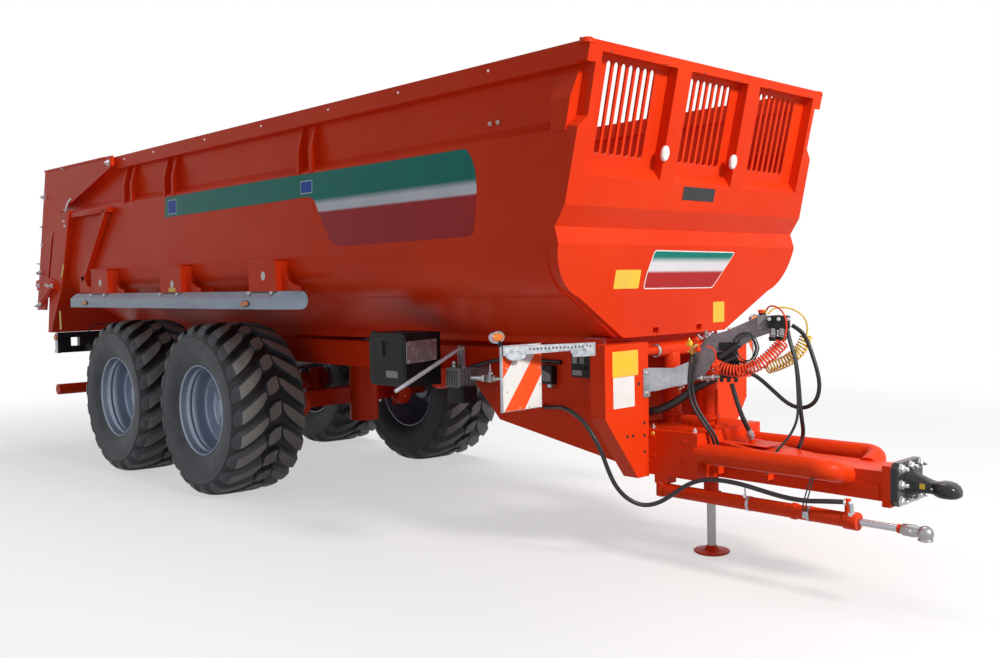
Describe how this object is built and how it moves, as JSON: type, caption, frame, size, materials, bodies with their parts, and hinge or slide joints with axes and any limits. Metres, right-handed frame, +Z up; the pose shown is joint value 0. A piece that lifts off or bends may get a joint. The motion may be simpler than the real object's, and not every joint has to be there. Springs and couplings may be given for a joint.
{
  "type": "tandem tipping trailer",
  "caption": "Farm tipping trailer with a half-pipe steel load body that tips to the rear, a top-hung tailgate, paired axles with forced rear steering, and a spoon coupling.",
  "frame": {"origin": "on the ground, at the middle of the overall length and width", "axes": "+X forwards to the hitch, +Y to the trailer's left, +Z up"},
  "size_m": [8.5778, 2.55, 2.715],
  "materials": {
    "tyre_rubber": "matt",
    "rim_silver": "satin",
    "black_steel": "satin",
    "red_paint": "gloss",
    "zinc_steel": "satin",
    "grey_steel": "satin",
    "chrome_rod": "polished",
    "lamp_red": "gloss",
    "black_plastic": "matt",
    "hose_black": "satin",
    "air_red": "gloss",
    "air_yellow": "gloss",
    "marker_white": "gloss"
  },
  "bodies": {
    "chassis": {"chassis_frame": "red_paint", "front_columns": "red_paint", "drawbar": "red_paint", "coupling_spoon": "black_steel", "jack_tube": "red_paint", "suspension_cylinder": "red_paint", "steering_cylinder": "red_paint", "axle_front": "red_paint", "axle_rear": "red_paint", "leaf_springs": "black_steel", "light_bars": "black_steel", "tail_lamps": "lamp_red", "underrun_bar": "red_paint", "toolbox": "black_plastic", "hand_pump": "grey_steel", "marker_boards": "marker_white", "hose_holder": "zinc_steel", "hose_steering": "hose_black", "hose_pair_right": "hose_black", "hose_pair_left": "hose_black", "hose_bundle": "hose_black", "hose_cross": "hose_black", "hose_loop": "hose_black", "hose_drop_thick": "hose_black", "hose_drop_thin": "hose_black", "air_line_red": "air_red", "air_line_yellow": "air_yellow"},
    "load_body": {"side_wall_right": "red_paint", "side_wall_left": "red_paint", "floor": "red_paint", "top_rims": "red_paint", "body_bearers": "red_paint", "front_wall": "red_paint", "side_posts": "red_paint", "rear_frame": "red_paint", "fenders": "zinc_steel", "fender_brackets": "red_paint"},
    "tailgate": {"tailgate_panel": "red_paint", "tailgate_frame": "red_paint"},
    "knuckle_right": {"knuckle_right": "red_paint"},
    "knuckle_left": {"knuckle_left": "red_paint"},
    "tie_rod": {"tie_rod": "red_paint"},
    "jack_leg": {"jack_leg": "zinc_steel"},
    "steering_rod": {"steering_rod": "zinc_steel"},
    "toolbox_door": {"toolbox_door": "black_plastic"},
    "lift_barrel": {"lift_barrel": "red_paint"},
    "lift_stage_1": {"lift_stage_1": "chrome_rod"},
    "lift_stage_2": {"lift_stage_2": "chrome_rod"},
    "lift_stage_3": {"lift_stage_3": "chrome_rod"},
    "lift_stage_4": {"lift_stage_4": "chrome_rod"},
    "lift_stage_5": {"lift_stage_5": "chrome_rod"},
    "wheel_front_right": {"tyre_front_right": "tyre_rubber", "rim_front_right": "rim_silver"},
    "wheel_front_left": {"tyre_front_left": "tyre_rubber", "rim_front_left": "rim_silver"},
    "wheel_rear_right": {"tyre_rear_right": "tyre_rubber", "rim_rear_right": "rim_silver"},
    "wheel_rear_left": {"tyre_rear_left": "tyre_rubber", "rim_rear_left": "rim_silver"}
  },
  "joints": [
    {"name": "body_tip", "type": "hinge", "parent": "chassis", "child": "load_body", "pos_m": [-3.685, 0, 1.19], "axis": [0, -1, 0], "range_deg": [0, 50]},
    {"name": "tailgate_swing", "type": "hinge", "parent": "load_body", "child": "tailgate", "pos_m": [-2.402, 0, 2.64], "axis": [0, 1, 0], "range_deg": [0, 75]},
    {"name": "rear_steer_right", "type": "hinge", "parent": "chassis", "child": "knuckle_right", "pos_m": [-2.215, -0.748, 0.645], "axis": [0, 0, 1], "range_deg": [-15, 15]},
    {"name": "rear_steer_left", "type": "hinge", "parent": "chassis", "child": "knuckle_left", "pos_m": [-2.215, 0.748, 0.645], "axis": [0, 0, 1], "range_deg": [-15, 15]},
    {"name": "tie_rod_shift", "type": "slide", "parent": "chassis", "child": "tie_rod", "axis": [0, -1, 0], "range_m": [-0.0525, 0.0525]},
    {"name": "steering_rod_slide", "type": "slide", "parent": "chassis", "child": "steering_rod", "axis": [1, 0, 0], "range_m": [-0.06, 0.06]},
    {"name": "jack_slide", "type": "slide", "parent": "chassis", "child": "jack_leg", "axis": [0, 0, 1], "range_m": [0, 0.28]},
    {"name": "toolbox_door_hinge", "type": "hinge", "parent": "chassis", "child": "toolbox_door", "pos_m": [1.246, -0.9798, 0.93], "axis": [1, 0, 0], "range_deg": [0, 100]},
    {"name": "lift_barrel_tilt", "type": "hinge", "parent": "chassis", "child": "lift_barrel", "pos_m": [-0.375, 0, 1], "axis": [0, -1, 0], "range_deg": [0, 23.3]},
    {"name": "lift_extend_1", "type": "slide", "parent": "lift_barrel", "child": "lift_stage_1", "axis": [0, 0, 1], "range_m": [0, 0.558]},
    {"name": "lift_extend_2", "type": "slide", "parent": "lift_stage_1", "child": "lift_stage_2", "axis": [0, 0, 1], "range_m": [0, 0.558]},
    {"name": "lift_extend_3", "type": "slide", "parent": "lift_stage_2", "child": "lift_stage_3", "axis": [0, 0, 1], "range_m": [0, 0.558]},
    {"name": "lift_extend_4", "type": "slide", "parent": "lift_stage_3", "child": "lift_stage_4", "axis": [0, 0, 1], "range_m": [0, 0.558]},
    {"name": "lift_extend_5", "type": "slide", "parent": "lift_stage_4", "child": "lift_stage_5", "axis": [0, 0, 1], "range_m": [0, 0.558]},
    {"name": "wheel_front_right_spin", "type": "hinge", "parent": "chassis", "child": "wheel_front_right", "pos_m": [-0.735, -0.975, 0.645], "axis": [0, 1, 0], "continuous": true},
    {"name": "wheel_front_left_spin", "type": "hinge", "parent": "chassis", "child": "wheel_front_left", "pos_m": [-0.735, 0.975, 0.645], "axis": [0, 1, 0], "continuous": true},
    {"name": "wheel_rear_right_spin", "type": "hinge", "parent": "knuckle_right", "child": "wheel_rear_right", "pos_m": [-2.215, -0.975, 0.645], "axis": [0, 1, 0], "continuous": true},
    {"name": "wheel_rear_left_spin", "type": "hinge", "parent": "knuckle_left", "child": "wheel_rear_left", "pos_m": [-2.215, 0.975, 0.645], "axis": [0, 1, 0], "continuous": true}
  ],
  "couplings": [
    {"joint": "rear_steer_left", "follows": "rear_steer_right", "ratio": 1},
    {"joint": "tie_rod_shift", "follows": "rear_steer_right", "m_per_rad": -0.2},
    {"joint": "steering_rod_slide", "follows": "rear_steer_right", "m_per_rad": 0.22918},
    {"joint": "lift_barrel_tilt", "follows": "body_tip", "ratio": 0.462},
    {"joint": "lift_extend_1", "follows": "body_tip", "m_per_rad": 0.63827},
    {"joint": "lift_extend_2", "follows": "body_tip", "m_per_rad": 0.63827},
    {"joint": "lift_extend_3", "follows": "body_tip", "m_per_rad": 0.63827},
    {"joint": "lift_extend_4", "follows": "body_tip", "m_per_rad": 0.63827},
    {"joint": "lift_extend_5", "follows": "body_tip", "m_per_rad": 0.63827}
  ]
}
